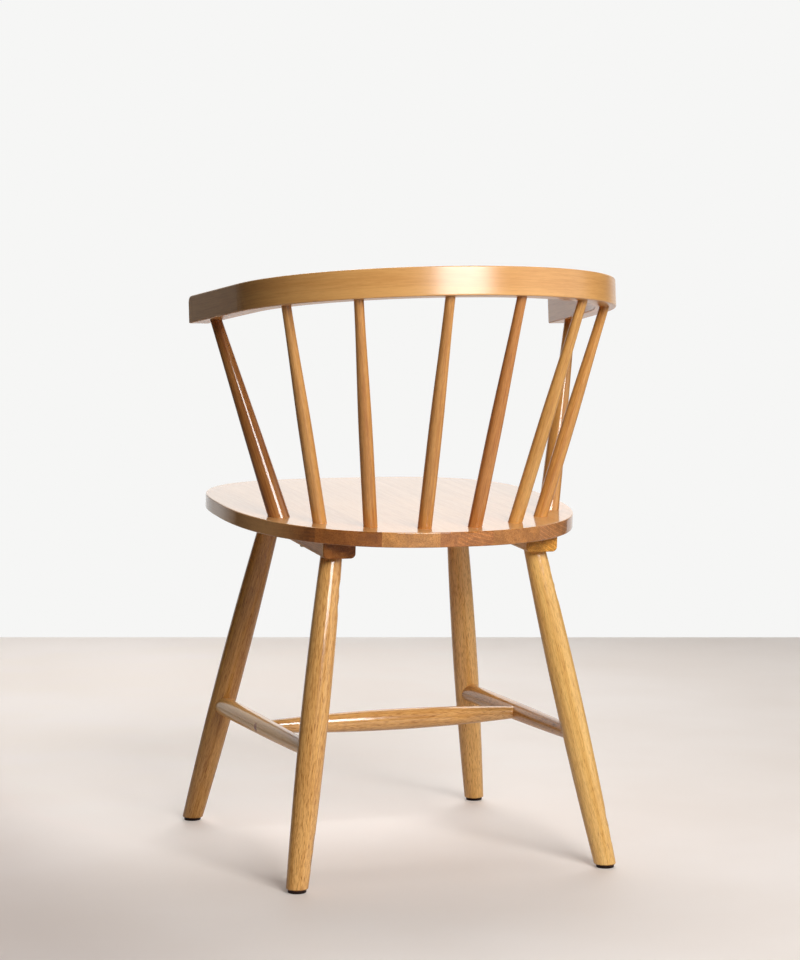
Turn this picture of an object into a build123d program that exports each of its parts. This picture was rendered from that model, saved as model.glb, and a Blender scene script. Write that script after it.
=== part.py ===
from build123d import *
import os
from math import ceil, cos, floor, pi, radians, sin

# A spindle-back dining chair in clear-lacquered hardwood. A tilted seat of edge-glued boards sits on two
# battens. Four turned legs are tenoned into the battens and tied by an H of stretchers. A bent rail with open
# arms is carried on six spindles and two arm posts.
# Millimetres and degrees. The sitter faces -Y, +X is the sitter's left and +Z is up. The chair stands on
# Z = 0, with the origin under the middle of its plan. Until the last lines, Y starts at the middle of the
# stance.

# Stance: the leg axes where they reach the floor
FRONT_FEET_SPREAD = 409.5
REAR_FEET_SPREAD = 399.0
STANCE_DEPTH = 454.0

# Seat of edge-glued boards that run from front to back
SEAT_HEIGHT = 441.0  # top face above the floor, over the middle of the stance
SEAT_TILT = 4.6  # fall of the seat towards its back
SEAT_WIDTH = 445.0
SEAT_WIDEST = -20.0  # line of the full width, along the seat from the middle of the stance
SEAT_FRONT_DEPTH = 196.0  # from that line to the front edge
SEAT_REAR_DEPTH = 264.0  # from that line to the rear edge
SEAT_FRONT_SQUARENESS = 3.0  # exponent of the outline: 2 is an ellipse, more is squarer
SEAT_REAR_SQUARENESS = 2.4
SEAT_POINTS = 24
SEAT_THICKNESS = 18.5
SEAT_TOP_ROUND = 1.6
SEAT_BOTTOM_ROUND = 1.4
BOARD_WIDTH = 68.6
BOARD_SEAM = 24.5  # glue line nearest to the middle, on the sitter's left

# Battens under the seat
BATTEN_LENGTH = 316.0
BATTEN_WIDTH = 41.0
BATTEN_THICKNESS = 20.0
BATTEN_SPACING = 262.0  # between the two centre lines
BATTEN_MIDDLE = 29.0  # along the seat from the middle of the stance
BATTEN_ROUND = 6.0  # lower long edges
BATTEN_END_ROUND = 1.5  # lower edge of each end

# Pan-head screws from each batten up into the seat
SCREW_PITCH = 51.0
SCREW_EDGE = 9.0  # from the batten's long edge
SCREW_D = 4.0
SCREW_BITE = 11.0  # length in the seat
SCREW_HEAD_D = 8.0
SCREW_HEAD_HEIGHT = 2.6
SCREW_HEAD_ROUND = 1.2
SCREW_RECESS_LENGTH = 4.0  # arms of the cross in the head
SCREW_RECESS_WIDTH = 1.0
SCREW_RECESS_DEPTH = 1.3

# Legs, turned to a swelling profile
LEG_INSET = 27.0  # leg axis from the end of its batten
LEG_SHIFT = 1.4  # rear leg's head outside the middle of its batten, and front leg's inside it
LEG_FOOT_D = 25.0
LEG_CALF_D = 31.6
LEG_SWELL_D = 33.1
LEG_NECK_D = 29.6
LEG_HEAD_D = 25.2
LEG_STATIONS = (-0.04, 0.27, 0.60, 0.867, 1.04)  # shares of the way from the floor to the batten
LEG_FOOT_ROUND = 1.6
LEG_TENON_D = 19.0

# Glides under the feet, each held by a nail
GLIDE_D = 22.0
GLIDE_THICKNESS = 4.0
GLIDE_ROUND = 1.0
GLIDE_RECESS = 2.0  # depth of the hollow that takes the nail's head
NAIL_D = 2.4
NAIL_BITE = 12.0  # length in the leg
NAIL_POINT = 4.0
NAIL_HEAD_D = 7.0
NAIL_HEAD_HEIGHT = 1.2

# Stretchers: one along each side and one across
STRETCHER_HEIGHT = 161.2
SIDE_FRONT_D = 24.4  # the side stretchers taper towards the rear legs
SIDE_MIDDLE_D = 23.2
SIDE_REAR_D = 18.2
SIDE_TENON_D = 15.0
SIDE_SHOULDER = 8.5  # shoulder from the leg's axis, inside the leg
SIDE_TENON_PAST = 4.0  # tenon's end beyond the leg's axis
SIDE_CLEAR = 2.0  # straight end that shows outside the leg
CROSS_END_D = 16.4
CROSS_FULL_D = 25.4
CROSS_FULL = (0.30, 0.70)  # shares of the length between which it is full
CROSS_TENON_D = 11.0  # goes through the side stretcher
CROSS_SHOULDER = 5.0  # shoulder from the side stretcher's axis
CROSS_CLEAR = 2.0

# Spindles and arm posts, on an arc of holes in the seat
RING_RADIUS = 194.0
RING_MIDDLE = 18.4  # along the seat from the middle of the stance
RING_STEP = 19.2  # between neighbouring holes
UPRIGHT_STATIONS = (-0.06, 0.25, 0.50, 0.80, 1.06)  # shares of the way up, past both ends for trimming
SPINDLE_FOOT_D = 17.3
SPINDLE_LOWER_D = 17.1
SPINDLE_MIDDLE_D = 16.3
SPINDLE_UPPER_D = 12.9
SPINDLE_HEAD_D = 11.8
SPINDLE_SEAT_TENON_D = 13.0
SPINDLE_RAIL_TENON_D = 8.5
POST_FOOT_D = 26.2
POST_LOWER_D = 23.8
POST_MIDDLE_D = 20.9
POST_UPPER_D = 16.6
POST_HEAD_D = 13.8
POST_SEAT_TENON_D = 17.0
POST_RAIL_TENON_D = 11.0
SEAT_TENON_LENGTH = 12.5
SPINDLE_RAIL_TENON_LENGTH = 11.0
POST_RAIL_TENON_LENGTH = 15.0

# Bent rail
RAIL_HEIGHT = 670.5  # underside above the floor, over the middle of the stance
RAIL_RISE = 5.0  # slope of the rail up towards its back
RAIL_RADIUS = 229.2  # centre line of the bow
RAIL_MIDDLE = 102.8  # centre of the bow, along the rail's plane from the middle of the stance
RAIL_SPLAY = 6.1  # outward turn of each arm
RAIL_ARM_LENGTH = 159.0
RAIL_THICKNESS = 26.4
RAIL_DEPTH = 34.0
RAIL_TOP_ROUND = 1.8
RAIL_BOTTOM_ROUND = 1.6
RAIL_END_ROUND = 8.5  # upper corner of each arm's end
RAIL_HOLE_SHIFT = 1.2  # line of holes inside the rail's centre line
RAIL_SPINDLE_ANGLES = (11.2, 37.9, 63.1)  # round the bow from the middle of the back
POST_INSET = 55.6  # arm post from the end of its arm

# Fits
FIT = 0.1  # gap all round a tenon, nail or screw in its hole
HOLE_SPARE = 0.5  # depth of a blind hole past what it holds
REACH = 60.0  # length of a drill or blank that only has to pass right through
TURNING_CUTS = 10  # lengths that a turned profile is cut into

SIDES = {"left": 1, "right": -1}
ENDS = {"front": -1, "rear": 1}
FEET_SPREAD = {"front": FRONT_FEET_SPREAD, "rear": REAR_FEET_SPREAD}
SIDE_END_D = {"front": SIDE_FRONT_D, "rear": SIDE_REAR_D}
ABOVE = (Align.CENTER, Align.CENTER, Align.MIN)  # a blank that stands on its working plane
BELOW = (Align.CENTER, Align.CENTER, Align.MAX)  # a blank that hangs from it

tilt = radians(SEAT_TILT)
rise = radians(RAIL_RISE)
seat_top = Plane(origin=(0, 0, SEAT_HEIGHT), x_dir=(1, 0, 0), z_dir=(0, sin(tilt), cos(tilt)))
seat_underside = seat_top.offset(-SEAT_THICKNESS)
batten_underside = seat_underside.offset(-BATTEN_THICKNESS)
rail_underside = Plane(origin=(0, 0, RAIL_HEIGHT), x_dir=(1, 0, 0), z_dir=(0, -sin(rise), cos(rise)))
leg_bottom = Plane.XY.offset(GLIDE_THICKNESS)


def rod(start, end, diameter):
    """Round bar from one point to another."""
    run = end - start
    return Plane(origin=start, z_dir=run) * Cylinder(diameter / 2, run.length, align=ABOVE)


def drill(start, end, diameter):
    """Hole for a round bar of this diameter, with the fit's gap round it."""
    return rod(start, end, diameter + 2 * FIT)


def turning(start, end, stations):
    """Solid turned about a line, smooth through stations of (share of the way, diameter).
    The profile is cut into short lengths, so that each face of the solid bends only a little."""
    run = end - start
    points = [(diameter / 2, 0, share * run.length) for share, diameter in stations]
    low = (0, 0, points[0][2])
    high = (0, 0, points[-1][2])
    curve = Spline(*points)
    cuts = [step / TURNING_CUTS for step in range(TURNING_CUTS + 1)]
    profile = [curve.trim(first, last) for first, last in zip(cuts, cuts[1:])]
    outline = make_face([*profile, Line(points[-1], high), Line(high, low), Line(low, points[0])])
    return Plane(origin=start, z_dir=run) * revolve(outline, Axis.Z)


# Joint points
def leg_foot(end, side):
    """Where a leg's axis reaches the floor."""
    return Vector(SIDES[side] * FEET_SPREAD[end] / 2, ENDS[end] * STANCE_DEPTH / 2, 0)


def leg_head(end, side):
    """Where a leg's axis meets the underside of its batten."""
    across = SIDES[side] * (BATTEN_SPACING / 2 + ENDS[end] * LEG_SHIFT)
    along = BATTEN_MIDDLE + ENDS[end] * (BATTEN_LENGTH / 2 - LEG_INSET)
    return batten_underside.from_local_coords((across, along, 0))


def on_leg(end, side, height):
    """Point of a leg's axis at a height above the floor."""
    foot = leg_foot(end, side)
    run = leg_head(end, side) - foot
    return foot + run * (height / run.Z)


def seat_hole(step, side):
    """Where an upright's axis meets the seat's top; step counts holes out from the middle of the back."""
    angle = radians((step + 0.5) * RING_STEP)
    return seat_top.from_local_coords(
        (SIDES[side] * RING_RADIUS * sin(angle), RING_MIDDLE + RING_RADIUS * cos(angle), 0)
    )


def rail_hole(step, side):
    """Where an upright's axis meets the rail's underside: spindles round the bow, then a post in the arm."""
    radius = RAIL_RADIUS - RAIL_HOLE_SHIFT
    if step < len(RAIL_SPINDLE_ANGLES):
        angle = radians(RAIL_SPINDLE_ANGLES[step])
        across = radius * sin(angle)
        along = RAIL_MIDDLE + radius * cos(angle)
    else:
        across, along = arm_point(radius, RAIL_ARM_LENGTH - POST_INSET)
    return rail_underside.from_local_coords((SIDES[side] * across, along, 0))


def arm_point(radius, run):
    """Point of the left arm in the rail's plane, on the line that continues a bow of this radius."""
    splay = radians(RAIL_SPLAY)
    across = radius * cos(splay) + run * sin(splay)
    along = RAIL_MIDDLE + radius * sin(splay) - run * cos(splay)
    return across, along


def screw_places(side):
    """Screw axes on a batten: the end screws near its outer edge and the middle one near its inner edge."""
    offset = BATTEN_WIDTH / 2 - SCREW_EDGE
    rows = ((-SCREW_PITCH, offset), (0, -offset), (SCREW_PITCH, offset))
    return [(SIDES[side] * (BATTEN_SPACING / 2 + out), BATTEN_MIDDLE + along) for along, out in rows]


# Legs
def leg(end, side):
    """Turned leg with a round tenon above, cut to the floor and to the batten, and bored for its joints."""
    foot = leg_foot(end, side)
    head = leg_head(end, side)
    axis = (head - foot).normalized()
    diameters = (LEG_FOOT_D, LEG_CALF_D, LEG_SWELL_D, LEG_NECK_D, LEG_HEAD_D)
    body = turning(foot, head, tuple(zip(LEG_STATIONS, diameters)))
    body = split(body, bisect_by=leg_bottom, keep=Keep.TOP)
    body = split(body, bisect_by=batten_underside, keep=Keep.BOTTOM)
    body = fillet(body.faces().sort_by(Axis.Z)[0].edges(), LEG_FOOT_ROUND)
    tenon = rod(head - axis * LEG_HEAD_D, head + axis * REACH, LEG_TENON_D)
    tenon = split(tenon, bisect_by=seat_underside.offset(-FIT), keep=Keep.BOTTOM)
    front_joint, rear_joint = side_joints(side)
    this_joint, other_joint = (front_joint, rear_joint) if end == "front" else (rear_joint, front_joint)
    inwards = (other_joint - this_joint).normalized()
    past = inwards * (SIDE_TENON_PAST + HOLE_SPARE)
    mortise = drill(this_joint - past, this_joint + inwards * REACH, SIDE_TENON_D)
    shoulder = this_joint + inwards * (SIDE_SHOULDER - FIT)
    mortise += drill(shoulder, this_joint + inwards * REACH, SIDE_END_D[end])
    nail_foot = glide_place(end, side)
    nail_hole = drill(nail_foot, nail_foot + Vector(0, 0, NAIL_BITE + HOLE_SPARE), NAIL_D)
    return body + tenon - mortise - nail_hole


# Glides and their nails
def glide_place(end, side):
    """Middle of a leg's bottom face."""
    return on_leg(end, side, GLIDE_THICKNESS)


def glide(end, side):
    """Plastic disc under a leg, hollowed below for the nail's head."""
    disc = Cylinder(GLIDE_D / 2, GLIDE_THICKNESS, align=BELOW)
    disc = fillet(disc.edges().sort_by(Axis.Z)[0], GLIDE_ROUND)
    head_space = Cylinder(NAIL_HEAD_D / 2 + FIT, GLIDE_RECESS, align=ABOVE)
    disc -= Pos(0, 0, -GLIDE_THICKNESS) * head_space
    disc -= drill(Vector(0, 0, -GLIDE_THICKNESS), Vector(0, 0, 0), NAIL_D)
    return Pos(glide_place(end, side)) * disc


def glide_nail(end, side):
    """Nail through a glide: a flat head in the hollow and a pointed shank up the leg."""
    head_top = GLIDE_RECESS - GLIDE_THICKNESS
    outline = Polyline(
        (0, 0, head_top - NAIL_HEAD_HEIGHT),
        (NAIL_HEAD_D / 2, 0, head_top - NAIL_HEAD_HEIGHT),
        (NAIL_HEAD_D / 2, 0, head_top),
        (NAIL_D / 2, 0, head_top),
        (NAIL_D / 2, 0, NAIL_BITE - NAIL_POINT),
        (0, 0, NAIL_BITE),
        close=True,
    )
    return Pos(glide_place(end, side)) * revolve(make_face(outline), Axis.Z)


# Stretchers
def side_joints(side):
    """Ends of a side stretcher's axis, on the front and rear legs' axes."""
    return on_leg("front", side, STRETCHER_HEIGHT), on_leg("rear", side, STRETCHER_HEIGHT)


def side_blank(side):
    """Side stretcher before it is bored: a tapering bar housed in the legs, with round tenons."""
    front, rear = side_joints(side)
    axis = (rear - front).normalized()
    straight = axis * (LEG_SWELL_D / 2 + SIDE_CLEAR)
    shoulder = axis * SIDE_SHOULDER
    past = axis * SIDE_TENON_PAST
    taper = ((0, SIDE_FRONT_D), (0.5, SIDE_MIDDLE_D), (1, SIDE_REAR_D))
    body = turning(front + straight, rear - straight, taper)
    body += rod(front + shoulder, front + straight, SIDE_FRONT_D)
    body += rod(rear - straight, rear - shoulder, SIDE_REAR_D)
    body += rod(front - past, front + shoulder, SIDE_TENON_D)
    body += rod(rear - shoulder, rear + past, SIDE_TENON_D)
    return body


def cross_joints():
    """Middles of the left and right side stretchers' axes."""
    return [(front + rear) * 0.5 for front, rear in (side_joints("left"), side_joints("right"))]


def cross_stretcher(blanks):
    """Swelling bar housed at its ends in the side stretchers, with tenons cut flush with their far sides."""
    left, right = cross_joints()
    axis = (right - left).normalized()
    shoulder = axis * CROSS_SHOULDER
    straight = axis * (SIDE_MIDDLE_D / 2 + CROSS_CLEAR)
    through = axis * SIDE_MIDDLE_D
    full = [(share, CROSS_FULL_D) for share in CROSS_FULL]
    swelling = ((0, CROSS_END_D), *full, (1, CROSS_END_D))
    bar = turning(left + straight, right - straight, swelling)
    bar += rod(left + shoulder, left + straight, CROSS_END_D)
    bar += rod(right - straight, right - shoulder, CROSS_END_D)
    bar += rod(left - through, left + shoulder, CROSS_TENON_D) & blanks["left"]
    bar += rod(right - shoulder, right + through, CROSS_TENON_D) & blanks["right"]
    return bar


def side_stretcher(side, blank):
    """Side stretcher bored right through for the cross stretcher's tenon, and wider for its housed end."""
    left, right = cross_joints()
    joint, other = (left, right) if side == "left" else (right, left)
    inwards = (other - joint).normalized()
    through = drill(joint - inwards * REACH, joint + inwards * REACH, CROSS_TENON_D)
    housing = drill(joint + inwards * (CROSS_SHOULDER - FIT), joint + inwards * REACH, CROSS_END_D)
    return blank - through - housing


# Seat
def seat_outline():
    """Outline of the seat: a superellipse whose front half is squarer and shallower than its rear half."""
    points = []
    for step in range(SEAT_POINTS):
        angle = 2 * pi * step / SEAT_POINTS
        rear = sin(angle) > 0
        power = SEAT_REAR_SQUARENESS if rear else SEAT_FRONT_SQUARENESS
        depth = SEAT_REAR_DEPTH if rear else SEAT_FRONT_DEPTH
        reach = (abs(cos(angle)) ** power + abs(sin(angle)) ** power) ** (-1 / power)
        points.append((SEAT_WIDTH / 2 * reach * cos(angle), SEAT_WIDEST + depth * reach * sin(angle)))
    return make_face(Spline(*points, periodic=True))


def seat_blank():
    """Whole seat with rounded rims, bored from above for the uprights and from below for the screws."""
    slab = extrude(seat_outline(), -SEAT_THICKNESS)
    slab = fillet(slab.faces().sort_by(Axis.Z)[-1].edges(), SEAT_TOP_ROUND)
    slab = fillet(slab.faces().sort_by(Axis.Z)[0].edges(), SEAT_BOTTOM_ROUND)
    slab = seat_top * slab
    for side in SIDES:
        for start, end, _, seat_tenon, _, _ in uprights(side):
            axis = (end - start).normalized()
            depth = axis * (SEAT_TENON_LENGTH + HOLE_SPARE)
            slab -= drill(start - depth, start + axis * REACH, seat_tenon)
        for across, along in screw_places(side):
            tip = seat_underside.from_local_coords((across, along, SCREW_BITE + HOLE_SPARE))
            foot = seat_underside.from_local_coords((across, along, -REACH))
            slab -= drill(foot, tip, SCREW_D)
    return slab


def board_edges():
    """Glue lines across the seat, with the seat's two sides at the ends of the list."""
    half = SEAT_WIDTH / 2
    first = ceil((-half - BOARD_SEAM) / BOARD_WIDTH)
    last = floor((half - BOARD_SEAM) / BOARD_WIDTH)
    seams = [BOARD_SEAM + BOARD_WIDTH * step for step in range(first, last + 1)]
    inner = [seam for seam in seams if abs(seam) < half]
    return [-half - SEAT_THICKNESS] + inner + [half + SEAT_THICKNESS]


def seat_boards():
    """The seat sawn along its glue lines into boards, from the sitter's right to left."""
    slab = seat_blank()
    edges = board_edges()
    longer_than_seat = 2 * (SEAT_FRONT_DEPTH + SEAT_REAR_DEPTH)
    taller_than_seat = 2 * SEAT_THICKNESS
    boards = []
    for low, high in zip(edges, edges[1:]):
        strip = Box(high - low, longer_than_seat, taller_than_seat)
        boards.append(slab & (seat_top * Pos((low + high) / 2, SEAT_WIDEST, -SEAT_THICKNESS / 2) * strip))
    return boards


# Battens and their screws
def batten(side):
    """Hardwood bar under the seat with its lower edges rounded, bored for two legs and three screws."""
    bar = Box(BATTEN_WIDTH, BATTEN_LENGTH, BATTEN_THICKNESS, align=BELOW)
    bar = fillet(bar.edges().filter_by(Axis.Y).group_by(Axis.Z)[0], BATTEN_ROUND)
    bar = fillet(bar.faces().sort_by(Axis.Z)[0].edges().filter_by(Axis.X), BATTEN_END_ROUND)
    bar = seat_underside * Pos(SIDES[side] * BATTEN_SPACING / 2, BATTEN_MIDDLE, 0) * bar
    for end in ENDS:
        head = leg_head(end, side)
        axis = (head - leg_foot(end, side)).normalized()
        bar -= drill(head - axis * REACH, head + axis * REACH, LEG_TENON_D)
    for across, along in screw_places(side):
        foot = batten_underside.from_local_coords((across, along, -REACH))
        tip = seat_underside.from_local_coords((across, along, REACH))
        bar -= drill(foot, tip, SCREW_D)
    return bar


def batten_screw(across, along):
    """Pan-head screw up through a batten into the seat, with a cross recess in its head."""
    shank = Cylinder(SCREW_D / 2, BATTEN_THICKNESS + SCREW_BITE, align=ABOVE)
    head = Cylinder(SCREW_HEAD_D / 2, SCREW_HEAD_HEIGHT, align=BELOW)
    head = fillet(head.edges().sort_by(Axis.Z)[0], SCREW_HEAD_ROUND)
    slot = Box(SCREW_RECESS_LENGTH, SCREW_RECESS_WIDTH, SCREW_RECESS_DEPTH, align=ABOVE)
    recess = Pos(0, 0, -SCREW_HEAD_HEIGHT) * (slot + Rot(0, 0, 90) * slot)
    return batten_underside * Pos(across, along, 0) * (shank + head - recess)


# Uprights: spindles and arm posts
def uprights(side):
    """Foot, head, stations, seat tenon, rail tenon and rail tenon's length of each upright on one side."""
    slim = (SPINDLE_FOOT_D, SPINDLE_LOWER_D, SPINDLE_MIDDLE_D, SPINDLE_UPPER_D, SPINDLE_HEAD_D)
    stout = (POST_FOOT_D, POST_LOWER_D, POST_MIDDLE_D, POST_UPPER_D, POST_HEAD_D)
    spindle = (tuple(zip(UPRIGHT_STATIONS, slim)), SPINDLE_SEAT_TENON_D, SPINDLE_RAIL_TENON_D)
    post = (tuple(zip(UPRIGHT_STATIONS, stout)), POST_SEAT_TENON_D, POST_RAIL_TENON_D)
    spindles = len(RAIL_SPINDLE_ANGLES)
    rows = []
    for step in range(spindles + 1):
        form = spindle if step < spindles else post
        length = SPINDLE_RAIL_TENON_LENGTH if step < spindles else POST_RAIL_TENON_LENGTH
        rows.append((seat_hole(step, side), rail_hole(step, side), *form, length))
    return rows


def upright(start, end, stations, seat_tenon, rail_tenon, rail_length):
    """Tapered turning between the seat and the rail, with a smaller tenon at each end."""
    axis = (end - start).normalized()
    body = turning(start, end, stations)
    body = split(body, bisect_by=seat_top, keep=Keep.TOP)
    body = split(body, bisect_by=rail_underside, keep=Keep.BOTTOM)
    foot = rod(start - axis * SEAT_TENON_LENGTH, start + axis * seat_tenon, seat_tenon)
    head = rod(end - axis * rail_tenon, end + axis * rail_length, rail_tenon)
    return body + foot + head


# Rail
def rail_outline():
    """Flat outline of the rail: its outer and inner lines each follow one arm, the bow and the other arm."""
    edges = []
    tips = []
    for radius in (RAIL_RADIUS + RAIL_THICKNESS / 2, RAIL_RADIUS - RAIL_THICKNESS / 2):
        across, along = arm_point(radius, 0)
        tip_across, tip_along = arm_point(radius, RAIL_ARM_LENGTH)
        edges.append(Line((tip_across, tip_along), (across, along)))
        edges.append(ThreePointArc((across, along), (0, RAIL_MIDDLE + radius), (-across, along)))
        edges.append(Line((-across, along), (-tip_across, tip_along)))
        tips.append((tip_across, tip_along))
    outer, inner = tips
    for side in SIDES.values():
        edges.append(Line((side * outer[0], outer[1]), (side * inner[0], inner[1])))
    return make_face(edges)


def rail():
    """Bent rail with rounded edges and arm ends, bored from below for the uprights."""
    bow = extrude(rail_outline(), RAIL_DEPTH)
    tips = bow.faces().sort_by(Axis.Y)[:2]
    for tip in tips:
        upper = tip.edges().sort_by(Axis.Z)[-1]
        bow = fillet(upper, RAIL_END_ROUND)
    bow = fillet(bow.faces().sort_by(Axis.Z)[-1].edges(), RAIL_TOP_ROUND)
    bow = fillet(bow.faces().sort_by(Axis.Z)[0].edges(), RAIL_BOTTOM_ROUND)
    bow = rail_underside * bow
    for side in SIDES:
        for start, end, _, _, rail_tenon, rail_length in uprights(side):
            axis = (end - start).normalized()
            bow -= drill(end - axis * REACH, end + axis * (rail_length + HOLE_SPARE), rail_tenon)
    return bow


def build():
    """Every piece of the chair by name, in the order that it is put together."""
    pieces = {}
    for number, board in enumerate(seat_boards(), 1):
        pieces[f"seat_board_{number}"] = board
    for side in SIDES:
        pieces[f"batten_{side}"] = batten(side)
    screws = [batten_screw(*place) for side in SIDES for place in screw_places(side)]
    pieces["batten_screws"] = Compound(screws)
    for end in ENDS:
        for side in SIDES:
            pieces[f"leg_{end}_{side}"] = leg(end, side)
    blanks = {side: side_blank(side) for side in SIDES}
    for side in SIDES:
        pieces[f"side_stretcher_{side}"] = side_stretcher(side, blanks[side])
    pieces["cross_stretcher"] = cross_stretcher(blanks)
    for end in ENDS:
        for side in SIDES:
            pieces[f"glide_{end}_{side}"] = glide(end, side)
    pieces["glide_nails"] = Compound([glide_nail(end, side) for end in ENDS for side in SIDES])
    for side in SIDES:
        *spindles, post = uprights(side)
        for number, row in enumerate(spindles, 1):
            pieces[f"spindle_{side}_{number}"] = upright(*row)
        pieces[f"arm_post_{side}"] = upright(*post)
    pieces["back_rail"] = rail()
    return pieces


pieces = build()
box = Compound(list(pieces.values())).bounding_box()
centred = Pos(0, -(box.min.Y + box.max.Y) / 2, 0)
os.makedirs("parts", exist_ok=True)
for name, piece in pieces.items():
    export_step(centred * piece, f"parts/{name}.step")
print(f"{len(pieces)} pieces, {box.size.X:.1f} x {box.size.Y:.1f} x {box.size.Z:.1f} mm")
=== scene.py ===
import math

import bpy
import numpy as np
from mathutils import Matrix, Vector


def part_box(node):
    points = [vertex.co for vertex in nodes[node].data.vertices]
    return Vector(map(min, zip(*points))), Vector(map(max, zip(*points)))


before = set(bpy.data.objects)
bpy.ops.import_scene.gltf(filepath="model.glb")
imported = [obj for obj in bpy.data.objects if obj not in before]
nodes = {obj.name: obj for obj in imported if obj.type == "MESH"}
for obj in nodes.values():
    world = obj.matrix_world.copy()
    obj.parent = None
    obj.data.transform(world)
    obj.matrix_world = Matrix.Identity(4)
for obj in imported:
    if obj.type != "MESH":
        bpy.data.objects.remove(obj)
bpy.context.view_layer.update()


# Seat
# Seven boards of pale hardwood, glued edge to edge and then cut to one rounded outline. Their fibres run
# from front to back, so the rims at the front and rear are end grain. A glossy clear lacquer covers it all.
def feed(tree, made, inputs):
    """Fills a node's inputs: a socket is linked to its input, and any other value is set on it."""
    for name, value in inputs.items():
        if isinstance(value, bpy.types.NodeSocket):
            tree.links.new(value, made.inputs[name])
        else:
            made.inputs[name].default_value = value


def add(tree, kind, inputs=None, **settings):
    """Adds a shader node. Its settings come before its inputs, because they decide which inputs it has."""
    made = tree.nodes.new("ShaderNode" + kind)
    for name, value in settings.items():
        setattr(made, name, value)
    feed(tree, made, inputs or {})
    return made


def sums(tree, operation, first, second=0.0):
    """Output of a Math node."""
    return add(tree, "Math", {0: first, 1: second}, operation=operation).outputs[0]


def total(tree, first, *others):
    """Sum of several values."""
    for other in others:
        first = sums(tree, "ADD", first, other)
    return first


def vector(tree, operation, first, second=(0.0, 0.0, 0.0)):
    """Output of a Vector Math node: a number for a length or a dot product, or else a vector."""
    made = add(tree, "VectorMath", {0: first, 1: second}, operation=operation)
    return made.outputs["Value" if operation in ("LENGTH", "DOT_PRODUCT") else "Vector"]


def ramp(tree, value, low, high, to_low=0.0, to_high=1.0):
    """Value carried from one range to another in a smooth step, and held at both ends."""
    inputs = {"Value": value, "From Min": low, "From Max": high, "To Min": to_low, "To Max": to_high}
    return add(tree, "MapRange", inputs, interpolation_type="SMOOTHSTEP").outputs["Result"]


def mixed(tree, share, first, second, blend="MIX"):
    """Colour between two colours. The Mix node's two colours are its inputs 6 and 7."""
    inputs = {"Factor": share, 6: first, 7: second}
    return add(tree, "Mix", inputs, data_type="RGBA", blend_type=blend).outputs[2]


def noise(tree, place, cells, detail=2.0, distortion=0.0):
    """Noise with a number of cells per metre along each axis."""
    scaled = vector(tree, "MULTIPLY", place, cells)
    inputs = {"Vector": scaled, "Scale": 1.0, "Detail": detail, "Distortion": distortion}
    return add(tree, "TexNoise", inputs).outputs[0]


def pattern(tree, place, levels, depths=(0.0, 1.0), **noisy):
    """Noise that sets in between two of its levels, carried to a range of depths."""
    return ramp(tree, noise(tree, place, **noisy), *levels, *depths)


def effect(name, takes, gives):
    """Empty node group with named sockets, as its tree, its incoming sockets and its outgoing ones."""
    tree = bpy.data.node_groups.new(name, "ShaderNodeTree")
    for way, sockets in (("INPUT", takes), ("OUTPUT", gives)):
        for socket, kind in sockets.items():
            tree.interface.new_socket(socket, in_out=way, socket_type="NodeSocket" + kind)
    return tree, tree.nodes.new("NodeGroupInput").outputs, tree.nodes.new("NodeGroupOutput").inputs


def paint(red, green, blue):
    """Colour as it looks on a screen, 0 to 255, turned to the linear values that shaders take."""
    levels = [level / 255 for level in (red, green, blue)]
    linear = [level / 12.92 if level < 0.04045 else ((level + 0.055) / 1.055) ** 2.4 for level in levels]
    return (*linear, 1.0)


# Patterns in the wood. Cells are counted per metre, along the fibres and in the two directions across them.
# A depth is a share of the way from the pale tone to the deep one.
STREAKS = {"cells": (3.0, 85.0, 85.0), "detail": 3.0, "distortion": 0.4,
           "levels": (0.36, 0.66), "depths": (0.0, 0.5)}
CLOUDS = {"cells": (9.0, 26.0, 26.0), "levels": (0.3, 0.7), "depths": (-0.2, 0.2)}
PORES = {"cells": (110.0, 2200.0, 2200.0), "detail": 0.0, "levels": (0.56, 0.68)}
PORE_TINT = (0.48, 0.34, 0.23, 1.0)

FIBRE_CELLS = (24.0, 620.0, 620.0)
FIBRE_LEVELS = (0.35, 0.65)
FIBRE_DEPTHS = (-0.28, 0.28)
FIBRE_HEIGHT = 0.25
SHEEN_LEVELS = (0.3, 0.7)
WOOD_ROUGHNESS = (0.34, 0.38)

# Rings: the way from the pith in metres, their turn in radians per metre, and how far that turn wanders.
FROM_PITH = (0.0, 0.11, 0.07)
RING_TURN = 820.0
RING_WANDER = 16.0
WANDER_CELLS = (2.5, 14.0, 14.0)
RING_LEVELS = (-0.4, 1.0)
RING_DEPTHS = (0.0, 0.30)

# End grain: how squarely a face meets the fibres where it sets in, its specks and mottle, and its stripes.
END_LEVELS = (0.2, 0.65)
SPECKS = {"cells": (300.0, 700.0, 700.0), "levels": (0.42, 0.66)}
SPECK_TINT = (0.74, 0.64, 0.54, 1.0)
MOTTLE = {"cells": (70.0, 70.0, 70.0), "detail": 3.0, "distortion": 1.0, "levels": (0.35, 0.65)}
MOTTLE_TINT = (0.74, 0.71, 0.66, 1.0)
STRIPES_PER_RING = 1.7
STRIPE_LEVELS = (0.5, 1.0)
STRIPE_PATCHES = (0.48, 0.56)
STRIPE_TINT = (1.35, 1.35, 1.35, 1.0)


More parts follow.
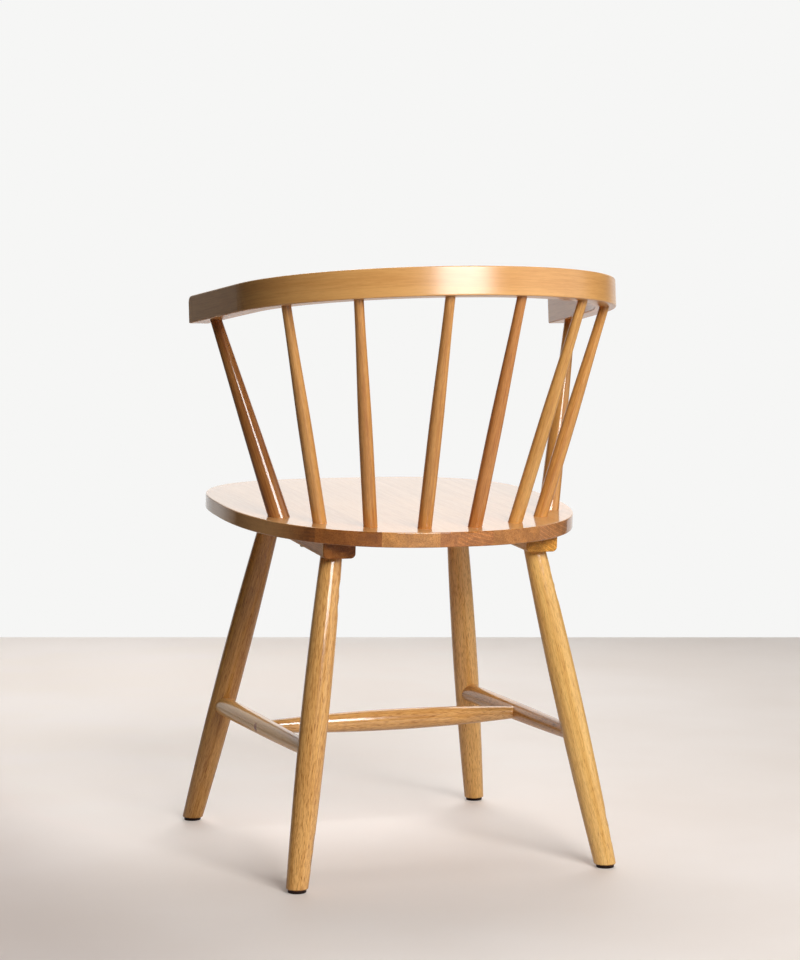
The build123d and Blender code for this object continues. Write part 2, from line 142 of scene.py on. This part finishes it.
def make_hardwood():
    """Node group of hardwood. Grain is a place with its X along the fibres; Facing is a normal turned alike.
    Rings round a distant pith, long streaks, soft clouds and fine fibres carry the pale tone to the deep
    one. Pores are short dark dashes along the fibres. Where the surface faces along the fibres it takes the
    end tint, which specks and mottle darken and narrow stripes lighten here and there along the rings."""
    takes = {"Grain": "Vector", "Facing": "Vector", "Pale": "Color", "Deep": "Color", "End": "Color",
             "Pores": "Float"}
    gives = {"Color": "Color", "Roughness": "Float", "Height": "Float"}
    tree, taken, given = effect("hardwood", takes, gives)
    grain = taken["Grain"]

    fibres = noise(tree, grain, FIBRE_CELLS)
    wander = noise(tree, grain, WANDER_CELLS, 1.0)
    across = vector(tree, "MULTIPLY", vector(tree, "ADD", grain, FROM_PITH), (0.0, 1.0, 1.0))
    radius = vector(tree, "LENGTH", across)
    wandering = sums(tree, "MULTIPLY", wander, RING_WANDER)
    turns = total(tree, sums(tree, "MULTIPLY", radius, RING_TURN), wandering)

    streaks = pattern(tree, grain, **STREAKS)
    rings = ramp(tree, sums(tree, "SINE", turns), *RING_LEVELS, *RING_DEPTHS)
    clouds = pattern(tree, grain, **CLOUDS)
    threads = ramp(tree, fibres, *FIBRE_LEVELS, *FIBRE_DEPTHS)
    wood = mixed(tree, total(tree, streaks, rings, clouds, threads), taken["Pale"], taken["Deep"])
    pores = sums(tree, "MULTIPLY", pattern(tree, grain, **PORES), taken["Pores"])
    wood = mixed(tree, pores, wood, PORE_TINT, "MULTIPLY")

    specks = pattern(tree, grain, **SPECKS)
    mottle = pattern(tree, grain, **MOTTLE)
    narrow = ramp(tree, sums(tree, "SINE", sums(tree, "MULTIPLY", turns, STRIPES_PER_RING)), *STRIPE_LEVELS)
    stripes = sums(tree, "MULTIPLY", narrow, ramp(tree, wander, *STRIPE_PATCHES))
    tint = taken["End"]
    for share, change in ((specks, SPECK_TINT), (mottle, MOTTLE_TINT), (stripes, STRIPE_TINT)):
        tint = mixed(tree, share, tint, change, "MULTIPLY")
    cut = mixed(tree, 1.0, wood, tint, "MULTIPLY")
    along = add(tree, "SeparateXYZ", {0: taken["Facing"]}).outputs["X"]
    end = ramp(tree, sums(tree, "ABSOLUTE", along), *END_LEVELS)

    tree.links.new(mixed(tree, end, wood, cut), given["Color"])
    tree.links.new(ramp(tree, fibres, *SHEEN_LEVELS, *WOOD_ROUGHNESS), given["Roughness"])
    raised = sums(tree, "MULTIPLY", fibres, FIBRE_HEIGHT)
    tree.links.new(sums(tree, "SUBTRACT", raised, pores), given["Height"])
    return tree


hardwood = make_hardwood()
END_TINT = (0.72, 0.58, 0.42, 1.0)


def wood_look(pale, deep, pores=0.5, end=END_TINT):
    """What sets one wood apart: its pale and deep tones, how far its pores show and its end grain's tint."""
    return {"Pale": paint(*pale), "Deep": paint(*deep), "Pores": pores, "End": end}


def blank_material(name):
    """New material, as itself, its node tree and its shader."""
    material = bpy.data.materials.new(name)
    material.use_nodes = True
    return material, material.node_tree, material.node_tree.nodes["Principled BSDF"]


WOOD_BUMP = {"Strength": 0.03, "Distance": 0.0004}
WOOD_SHINE = 0.1


def lacquered(name, look, gloss, grain_space):
    """Hardwood under a clear lacquer. The gloss is the lacquer's weight, roughness and index of refraction,
    over the wood's own soft shine. The grain space gives the place and normal that the hardwood takes."""
    material, tree, shader = blank_material(name)
    place, facing = grain_space(tree)
    wood = add(tree, "Group", {"Grain": place, "Facing": facing, **look}, node_tree=hardwood).outputs
    bump = add(tree, "Bump", {"Height": wood["Height"], **WOOD_BUMP})
    feed(tree, shader, {
        "Base Color": wood["Color"],
        "Roughness": wood["Roughness"],
        "Normal": bump.outputs["Normal"],
        "Specular IOR Level": WOOD_SHINE,
        **dict(zip(("Coat Weight", "Coat Roughness", "Coat IOR"), gloss)),
    })
    return material


def fibre_direction(node):
    """Unit vector along a long piece: the direction in which its points spread the most."""
    mesh = nodes[node].data
    points = np.empty(len(mesh.vertices) * 3)
    mesh.vertices.foreach_get("co", points)
    spread = np.cov(points.reshape(-1, 3).T)
    return Vector(np.linalg.eigh(spread)[1][:, 2])


# Metres by which the grain moves from one piece to the next, along the fibres and across them. Across, it
# starts again after a few pieces.
GRAIN_STEPS = (0.37, 0.013, 0.019)
STEPS_ACROSS = (5, 7)


def straight_grain(node, number):
    """Grain space of a straight piece, turned so that its fibres lie along X. The number moves the pattern,
    so that no two pieces are cut from the same stretch of wood."""
    turn = fibre_direction(node).rotation_difference(Vector((1.0, 0.0, 0.0))).to_euler()
    counts = (number, *(number % steps for steps in STEPS_ACROSS))
    shift = [step * count for step, count in zip(GRAIN_STEPS, counts)]

    def grain_space(tree):
        point = add(tree, "TexCoord").outputs["Object"]
        normal = add(tree, "NewGeometry").outputs["Normal"]
        place = add(tree, "Mapping", {"Vector": point, "Rotation": turn, "Location": shift})
        facing = add(tree, "Mapping", {"Vector": normal, "Rotation": turn}, vector_type="VECTOR")
        return place.outputs[0], facing.outputs[0]

    return grain_space


def dress(node, material):
    """Puts one material on a piece."""
    nodes[node].data.materials.clear()
    nodes[node].data.materials.append(material)


def finish_straight(node, number, look, gloss):
    """Gives a straight piece of wood its own lacquered hardwood."""
    dress(node, lacquered(node + "_wood", look, gloss, straight_grain(node, number)))


# Each board: how much lighter it is than the seat's own tones, and the tint of its end grain. The dark
# end tints of boards 6 and 7 are partly painted shade, for where the rear rim turns away from the key lamp.
BOARD_TONES_AND_RIM_SHADE = (
    (-4, (0.78, 0.66, 0.56, 1.0)),
    (2, (0.72, 0.58, 0.48, 1.0)),
    (-2, (0.82, 0.65, 0.41, 1.0)),
    (3, (0.75, 0.54, 0.34, 1.0)),
    (0, (1.0, 0.87, 0.62, 1.0)),
    (-3, (0.56, 0.37, 0.19, 1.0)),
    (2, (0.34, 0.22, 0.12, 1.0)),
)
SEAT_PALE = (221, 167, 108)
SEAT_DEEP = (210, 155, 97)
SEAT_PORES = 0.15
SEAT_GLOSS = (0.9, 0.07, 1.6)
for number, (lighter, end) in enumerate(BOARD_TONES_AND_RIM_SHADE, 1):
    pale, deep = ([level + lighter for level in tone] for tone in (SEAT_PALE, SEAT_DEEP))
    finish_straight(f"seat_board_{number}", number, wood_look(pale, deep, SEAT_PORES, end), SEAT_GLOSS)


# Battens
# Two planed bars of the same hardwood under the seat, with their lower edges rounded over. The legs are
# tenoned into them, and three screws go up through each into the seat.
BATTEN_GLOSS = (0.3, 0.2, 1.5)
# The left batten's darker tones and end tint are painted shade, for the seat's shadow over its end.
BATTEN_LOOKS_AND_SHADE = {
    "left": wood_look((220, 164, 94), (188, 130, 68), 0.5, (0.48, 0.34, 0.20, 1.0)),
    "right": wood_look((236, 184, 104), (212, 156, 82), 0.5, (0.96, 0.84, 0.56, 1.0)),
}
for number, (side, look) in enumerate(BATTEN_LOOKS_AND_SHADE.items(), 11):
    finish_straight(f"batten_{side}", number, look, BATTEN_GLOSS)


# Batten screws
# Pan-head wood screws of plated steel with a cross recess, driven up through the battens. Their plating has
# dulled unevenly.
TARNISH = {"cells": (420.0, 420.0, 420.0), "detail": 3.0}
TARNISH_LEVELS = (0.35, 0.7)
BRIGHT_STEEL = paint(186, 178, 160)
DULL_STEEL = paint(120, 108, 88)
DULLING_LEVELS = (0.3, 0.7)
STEEL_ROUGHNESS = (0.24, 0.5)


def make_plated_steel():
    """Steel whose tarnish and roughness change in soft patches."""
    material, tree, shader = blank_material("plated_steel")
    patches = noise(tree, add(tree, "TexCoord").outputs["Object"], **TARNISH)
    feed(tree, shader, {
        "Base Color": mixed(tree, ramp(tree, patches, *TARNISH_LEVELS), BRIGHT_STEEL, DULL_STEEL),
        "Roughness": ramp(tree, patches, *DULLING_LEVELS, *STEEL_ROUGHNESS),
        "Metallic": 1.0,
    })
    return material


plated_steel = make_plated_steel()
dress("batten_screws", plated_steel)


# Legs
# Four turned legs of the same hardwood, thickest a little above the middle, with round tenons in the
# battens. Fine open pores run along them under the lacquer.
LEG_GLOSS = (0.5, 0.13, 1.9)
# Their tones differ partly as painted light: the front left leg is darker as painted shade for where it
# stands under the seat, and the two right legs are paler as painted light.
LEG_LOOKS_AND_LIGHT = {
    "front_left": wood_look((206, 152, 78), (175, 119, 54), 0.7),
    "front_right": wood_look((242, 188, 110), (214, 155, 82), 0.7),
    "rear_left": wood_look((230, 176, 106), (202, 144, 78), 0.8),
    "rear_right": wood_look((242, 194, 116), (222, 168, 92), 0.5),
}
for number, (corner, look) in enumerate(LEG_LOOKS_AND_LIGHT.items(), 21):
    finish_straight(f"leg_{corner}", number, look, LEG_GLOSS)


# Stretchers
# Three turned bars in an H. The side bars are tenoned into the legs, and the cross bar's tenons go right
# through the side bars, where their ends show flush.
TENON_END = (1.0, 0.62, 0.38, 1.0)
STRETCHER_GLOSS = (0.7, 0.11, 1.9)
# The left side bar is made paler than the others as painted light, for the pale sheen on its upper left
# side.
STRETCHER_LOOKS_AND_LIGHT = {
    "side_stretcher_left": wood_look((255, 204, 130), (244, 182, 106), 0.2),
    "side_stretcher_right": wood_look((228, 172, 102), (198, 140, 74), 0.8),
    "cross_stretcher": wood_look((228, 174, 106), (198, 142, 78), 0.8, TENON_END),
}
for number, (node, look) in enumerate(STRETCHER_LOOKS_AND_LIGHT.items(), 31):
    finish_straight(node, number, look, STRETCHER_GLOSS)


# Glides
# Moulded plastic discs under the feet, nearly black and a little scuffed. Each is held by a nail of plated
# steel in a hollow of its underside.
SCUFFS = {"cells": (260.0, 260.0, 900.0), "detail": 4.0, "levels": (0.5, 0.75)}
MOULDED = {"cells": (2400.0, 2400.0, 2400.0), "detail": 1.0}
MOULDED_BUMP = {"Strength": 0.2, "Distance": 0.0002}
DARK_PLASTIC = paint(34, 20, 15)
SCUFFED_PLASTIC = paint(66, 48, 38)
PLASTIC_ROUGHNESS = (0.42, 0.62)
PLASTIC_SHINE = 0.15


def make_glide_plastic():
    """Dark plastic with a fine moulded grain and paler scuffs."""
    material, tree, shader = blank_material("glide_plastic")
    point = add(tree, "TexCoord").outputs["Object"]
    scuffs = pattern(tree, point, **SCUFFS)
    bump = add(tree, "Bump", {"Height": noise(tree, point, **MOULDED), **MOULDED_BUMP})
    feed(tree, shader, {
        "Base Color": mixed(tree, scuffs, DARK_PLASTIC, SCUFFED_PLASTIC),
        "Roughness": ramp(tree, scuffs, 0.0, 1.0, *PLASTIC_ROUGHNESS),
        "Normal": bump.outputs["Normal"],
        "Specular IOR Level": PLASTIC_SHINE,
    })
    return material


glide_plastic = make_glide_plastic()
for corner in LEG_LOOKS_AND_LIGHT:
    dress(f"glide_{corner}", glide_plastic)
dress("glide_nails", plated_steel)


# Spindles and arm posts
# Six slender turned spindles and two thicker arm posts of the same hardwood, all tapering upwards. They are
# tenoned into the seat and the rail.
SPINDLE_GLOSS = (0.4, 0.16, 1.9)
POST_GLOSS = (0.55, 0.1, 1.9)
UPRIGHT_LOOKS = {
    "spindle_left_1": wood_look((220, 158, 88), (188, 124, 62), 0.3),
    "spindle_left_2": wood_look((214, 152, 84), (182, 118, 60), 0.3),
    "spindle_left_3": wood_look((216, 158, 90), (184, 126, 66), 0.3),
    "arm_post_left": wood_look((188, 126, 68), (150, 88, 42), 0.2),
    "spindle_right_1": wood_look((210, 142, 76), (178, 108, 52), 0.3),
    "spindle_right_2": wood_look((226, 170, 96), (196, 138, 70), 0.3),
    "spindle_right_3": wood_look((218, 158, 86), (186, 124, 62), 0.3),
    "arm_post_right": wood_look((216, 156, 84), (184, 122, 60), 0.3),
}
for number, (node, look) in enumerate(UPRIGHT_LOOKS.items(), 41):
    finish_straight(node, number, look, POST_GLOSS if node.startswith("arm_post") else SPINDLE_GLOSS)


# Back rail
# One bent bar of hardwood: a bow round the back that runs out into two straight, slightly splayed arms. Its
# fibres follow the bend, and the posts and spindles are tenoned into its underside.
RAIL_RISE = math.radians(5.0)
RAIL_SPLAY = math.radians(6.1)
RAIL_RADIUS = 0.2292
RAIL_THICKNESS = 0.0264
RAIL_DEPTH = 0.034
RAIL_LOOK = wood_look((228, 169, 99), (212, 151, 84), 0.12)
RAIL_GLOSS = (0.65, 0.26, 2.1)


def make_unrolled_rail():
    """Node group that unrolls the rail. Bow is a place with its origin at the bow's centre, X across the
    chair and Y to the back. Round the bow the length is the angle times the radius and the width is the
    distance from the centre. Along an arm both are straight, measured from where the bow ends."""
    tree, taken, given = effect("unrolled_rail", {"Bow": "Vector", "Normal": "Vector"},
                                {"Grain": "Vector", "Facing": "Vector"})
    bow = add(tree, "SeparateXYZ", {0: taken["Bow"]}).outputs
    side = sums(tree, "SIGN", bow["X"])
    out = sums(tree, "ABSOLUTE", bow["X"])
    cos, sin = math.cos(RAIL_SPLAY), math.sin(RAIL_SPLAY)
    arm_run = sums(tree, "SUBTRACT", sums(tree, "MULTIPLY", out, sin), sums(tree, "MULTIPLY", bow["Y"], cos))
    arm_wide = total(tree, sums(tree, "MULTIPLY", out, cos), sums(tree, "MULTIPLY", bow["Y"], sin))
    bow_run = sums(tree, "MULTIPLY", sums(tree, "ARCTAN2", out, bow["Y"]), RAIL_RADIUS)
    bow_wide = vector(tree, "LENGTH", vector(tree, "MULTIPLY", taken["Bow"], (1.0, 1.0, 0.0)))
    on_arm = sums(tree, "GREATER_THAN", arm_run, 0.0)
    bow_length = RAIL_RADIUS * (math.pi / 2 - RAIL_SPLAY)
    run = total(tree, sums(tree, "MAXIMUM", arm_run, 0.0), sums(tree, "MINIMUM", bow_run, bow_length))
    wide = add(tree, "Mix", {"Factor": on_arm, "A": bow_wide, "B": arm_wide}, data_type="FLOAT").outputs[0]
    place = {"X": sums(tree, "MULTIPLY", run, side), "Y": wide, "Z": bow["Z"]}
    tree.links.new(add(tree, "CombineXYZ", place).outputs[0], given["Grain"])

    normal = add(tree, "SeparateXYZ", {0: taken["Normal"]}).outputs
    outwards = sums(tree, "MULTIPLY", normal["X"], side)
    backwards = sums(tree, "MULTIPLY", normal["Y"], cos)
    along = sums(tree, "SUBTRACT", sums(tree, "MULTIPLY", outwards, sin), backwards)
    facing = add(tree, "CombineXYZ", {"X": sums(tree, "MULTIPLY", along, on_arm)})
    tree.links.new(facing.outputs[0], given["Facing"])
    return tree


def rail_grain():
    """Grain space of the rail. The bow rises to the back, where its lower edge reaches furthest and its
    upper edge is highest, and its centre lies a radius in front of there."""
    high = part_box("back_rail")[1]
    reach, half = RAIL_RADIUS + RAIL_THICKNESS / 2, RAIL_DEPTH / 2
    cos, sin = math.cos(RAIL_RISE), math.sin(RAIL_RISE)
    centre = Vector((0.0, high.y - reach * cos - half * sin, high.z - reach * sin - half * cos))
    turn = (-RAIL_RISE, 0.0, 0.0)
    unrolled = make_unrolled_rail()

    def grain_space(tree):
        point = vector(tree, "SUBTRACT", add(tree, "TexCoord").outputs["Object"], centre)
        normal = add(tree, "NewGeometry").outputs["Normal"]
        bow = add(tree, "Mapping", {"Vector": point, "Rotation": turn})
        facing = add(tree, "Mapping", {"Vector": normal, "Rotation": turn})
        inputs = {"Bow": bow.outputs[0], "Normal": facing.outputs[0]}
        made = add(tree, "Group", inputs, node_tree=unrolled).outputs
        return made["Grain"], made["Facing"]

    return grain_space


dress("back_rail", lacquered("back_rail_wood", RAIL_LOOK, RAIL_GLOSS, rail_grain()))


# Floor
# A smooth, pale studio floor under the glides. It is brightest behind the chair, and painted shade darkens
# its corner near the camera on the left.
VIEW_TURN = math.radians(19.877)
front_low, front_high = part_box("glide_front_right")
rear_low, rear_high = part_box("glide_rear_left")
stance_middle = Vector((0.0, (front_low.y + front_high.y + rear_low.y + rear_high.y) / 4, 0.0))
to_camera = Vector((math.sin(VIEW_TURN), math.cos(VIEW_TURN), 0.0))
to_right = Vector((-math.cos(VIEW_TURN), math.sin(VIEW_TURN), 0.0))
up = Vector((0.0, 0.0, 1.0))

FLOOR_REACH = 14.0
PATCHES = {"cells": (1.6, 1.6, 1.6), "detail": 4.0, "levels": (0.3, 0.7)}
FLOOR_TONES = (paint(228, 218, 210), paint(234, 226, 220))
FLOOR_ROUGHNESS = 0.6
FLOOR_SHINE = 0.15

# What the floor throws back at the chair, between two distances from it.
LIT_FLOOR = (0.7, 1.4)
NEAR_LIGHT = (0.62, 0.56, 0.50, 1.0)
FAR_LIGHT = (0.04, 0.04, 0.04, 1.0)

# Painted shade in a corner: how much nearer the camera and how much further left count, its range and tint.
CORNER_NEARER = 0.6
CORNER_LEFTER = 1.4
CORNER_SHADE_RANGE = (0.4, 0.85)
CORNER_SHADE_TINT = (0.76, 0.73, 0.72, 1.0)

# Glow for the camera: from the back to the front, its share from left to right, and far from the chair.
BRIGHT_FLOOR = (-0.45, 0.5)
FLOOR_GLOW = (0.36, 0.09)
GLOW_WIDTH = (-0.9, 0.9)
GLOW_SHARE = (1.15, 0.35)
FAR_FLOOR = (1.9, 3.2)
FAR_GLOW = 0.85


def sheet(name, centre, across, along):
    """Flat stage sheet from its centre and its two half sides."""
    corners = [centre + a * across + b * along for a, b in ((-1, -1), (1, -1), (1, 1), (-1, 1))]
    mesh = bpy.data.meshes.new(name)
    mesh.from_pydata(corners, [], [(0, 1, 2, 3)])
    made = bpy.data.objects.new(name, mesh)
    bpy.context.scene.collection.objects.link(made)
    return made


def from_stance(tree):
    """The way to a point from the middle of the chair's stance."""
    return vector(tree, "SUBTRACT", add(tree, "TexCoord").outputs["Object"], stance_middle)


def seen(tree, path):
    """One for rays from the camera and for reflections, and nought for light that is thrown back softly."""
    return sums(tree, "MAXIMUM", path["Is Camera Ray"], path["Is Glossy Ray"])


def make_floor():
    """Pale floor with soft patches and painted shade in one corner. Only the part near the chair throws soft
    light back at it, as in a dark studio. For the camera it also glows: most behind the chair and to the
    left, and far away, where no lamp reaches. It is clear from below, so that it hides nothing from there."""
    floor = sheet("floor", stance_middle, to_right * FLOOR_REACH, to_camera * -FLOOR_REACH)
    material, tree, shader = blank_material("pale_floor")
    path = add(tree, "LightPath").outputs
    offset = from_stance(tree)
    nearer = vector(tree, "DOT_PRODUCT", offset, to_camera)
    righter = vector(tree, "DOT_PRODUCT", offset, to_right)
    away = vector(tree, "LENGTH", offset)

    patches = pattern(tree, add(tree, "TexCoord").outputs["Object"], **PATCHES)
    pale = mixed(tree, patches, *FLOOR_TONES)
    # Painted shade: the colour darkens towards the floor's corner near the camera on the left.
    corner = sums(tree, "SUBTRACT", sums(tree, "MULTIPLY", nearer, CORNER_NEARER),
                  sums(tree, "MULTIPLY", righter, CORNER_LEFTER))
    pale = mixed(tree, ramp(tree, corner, *CORNER_SHADE_RANGE), pale, CORNER_SHADE_TINT, "MULTIPLY")
    lit = mixed(tree, ramp(tree, away, *LIT_FLOOR), NEAR_LIGHT, FAR_LIGHT)

    glow = ramp(tree, nearer, *BRIGHT_FLOOR, *FLOOR_GLOW)
    glow = sums(tree, "MULTIPLY", glow, ramp(tree, righter, *GLOW_WIDTH, *GLOW_SHARE))
    glow = sums(tree, "MAXIMUM", glow, ramp(tree, away, *FAR_FLOOR, 0.0, FAR_GLOW))
    feed(tree, shader, {
        "Base Color": mixed(tree, seen(tree, path), lit, pale),
        "Roughness": FLOOR_ROUGHNESS,
        "Specular IOR Level": FLOOR_SHINE,
        "Alpha": sums(tree, "SUBTRACT", 1.0, add(tree, "NewGeometry").outputs["Backfacing"]),
        "Emission Color": pale,
        "Emission Strength": sums(tree, "MULTIPLY", glow, path["Is Camera Ray"]),
    })
    floor.data.materials.append(material)


make_floor()


# Wall
# A white studio wall behind the chair, square to the view. It is plastered, and lit so evenly that the
# camera sees one tone.
WALL_BEHIND = 2.05
WALL_LEFT, WALL_RIGHT, WALL_HEIGHT = 3.2, 1.7, 3.0
WALL_FADE = (1.0, 3.6)
WALL_END = (2.6, 2.9)
PLASTER = paint(240, 240, 239)
BRIGHT_WALL = paint(246, 246, 245)
WARM_WALL = paint(255, 222, 190)


def make_wall():
    """White wall that looks evenly bright to the camera. In reflections it fades and warms to the left until
    it is dark. It is clear from behind, so that it hides nothing from other sides."""
    middle = to_right * (WALL_RIGHT - WALL_LEFT) / 2 + up * WALL_HEIGHT / 2 - to_camera * WALL_BEHIND
    half_width = to_right * (WALL_LEFT + WALL_RIGHT) / 2
    wall = sheet("wall", stance_middle + middle, half_width, up * WALL_HEIGHT / 2)
    material, tree, shader = blank_material("white_wall")
    tree.nodes.remove(shader)
    path = add(tree, "LightPath").outputs
    lefter = vector(tree, "DOT_PRODUCT", from_stance(tree), -to_right)
    fading, ending = (ramp(tree, lefter, *span, 1.0, 0.0) for span in (WALL_FADE, WALL_END))
    strength = sums(tree, "MAXIMUM", path["Is Camera Ray"], sums(tree, "MULTIPLY", fading, ending))
    white = mixed(tree, strength, WARM_WALL, BRIGHT_WALL)
    plaster = add(tree, "BsdfDiffuse", {"Color": PLASTER}).outputs[0]
    bright = add(tree, "Emission", {"Color": white, "Strength": strength}).outputs[0]
    front = add(tree, "MixShader", {"Fac": seen(tree, path), 1: plaster, 2: bright}).outputs[0]
    behind = add(tree, "NewGeometry").outputs["Backfacing"]
    clear = add(tree, "BsdfTransparent").outputs[0]
    both = add(tree, "MixShader", {"Fac": behind, 1: front, 2: clear}).outputs[0]
    tree.links.new(both, tree.nodes["Material Output"].inputs["Surface"])
    wall.data.materials.append(material)


make_wall()


# Lamps
# Soft panels round the chair: the key lamp to the right of the camera, a weak panel at the right side, one
# high up behind the chair and a faint one before the wall. The rest of the studio is nearly dark.
DARK_STUDIO = (0.03, 0.03, 0.03, 1.0)

# Each lamp: its angle to the right of the camera, distance and height, the height of the point over the
# middle of the stance that it faces, its width and height, and its power in watts.
LAMPS = {
    "key_softbox": ((24.5, 2.4, 1.65), 0.45, (1.25, 1.2), 66.0),
    "side_panel": ((80.0, 2.5, 1.0), 0.45, (2.4, 1.8), 11.0),
    "high_softbox": ((180.0, 1.6, 2.3), 0.45, (1.8, 1.8), 34.0),
    "back_panel": ((180.0, 1.95, 1.1), 1.1, (1.8, 1.4), 3.0),
}


def studio_place(right_of_camera, distance, height):
    """Point round the chair: an angle to the right of the camera, a distance on the floor and a height."""
    turn = VIEW_TURN - math.radians(right_of_camera)
    return stance_middle + Vector((math.sin(turn), math.cos(turn), 0.0)) * distance + up * height


def softbox(name, place, target, size, power):
    """Large soft lamp that faces a point and isn't seen by the camera itself."""
    lamp = bpy.data.lights.new(name, "AREA")
    lamp.shape = "RECTANGLE"
    lamp.size, lamp.size_y = size
    lamp.energy = power
    made = bpy.data.objects.new(name, lamp)
    made.location = place
    made.rotation_euler = (target - place).to_track_quat("-Z", "Y").to_euler()
    made.visible_camera = False
    bpy.context.scene.collection.objects.link(made)


def make_studio():
    """World that is nearly dark, and as bright as the wall where the camera sees past it."""
    world = bpy.data.worlds.new("studio")
    bpy.context.scene.world = world
    world.use_nodes = True
    tree = world.node_tree
    shade = mixed(tree, add(tree, "LightPath").outputs["Is Camera Ray"], DARK_STUDIO, BRIGHT_WALL)
    feed(tree, tree.nodes["Background"], {"Color": shade})


for name, (place, aim, size, power) in LAMPS.items():
    softbox(name, studio_place(*place), stance_middle + up * aim, size, power)
make_studio()
bpy.context.scene.view_settings.view_transform = "Standard"


# Camera
# It stands behind the chair, a little to the sitter's left and at about the height of the arms, and looks
# slightly down.
SENSOR_WIDTH = 36.0
FOCAL_LENGTH = 92.5
CAMERA_AWAY, CAMERA_RIGHT, CAMERA_HEIGHT = 3.1463, 0.01116, 0.6738
CAMERA_DIP = math.radians(3.740)
lens = bpy.data.cameras.new("camera")
lens.sensor_width = SENSOR_WIDTH
lens.lens = FOCAL_LENGTH
camera = bpy.data.objects.new("camera", lens)
camera.location = stance_middle + to_camera * CAMERA_AWAY + to_right * CAMERA_RIGHT + up * CAMERA_HEIGHT
camera.rotation_euler = (math.pi / 2 - CAMERA_DIP, 0.0, math.pi - VIEW_TURN)
bpy.context.scene.collection.objects.link(camera)
bpy.context.scene.camera = camera
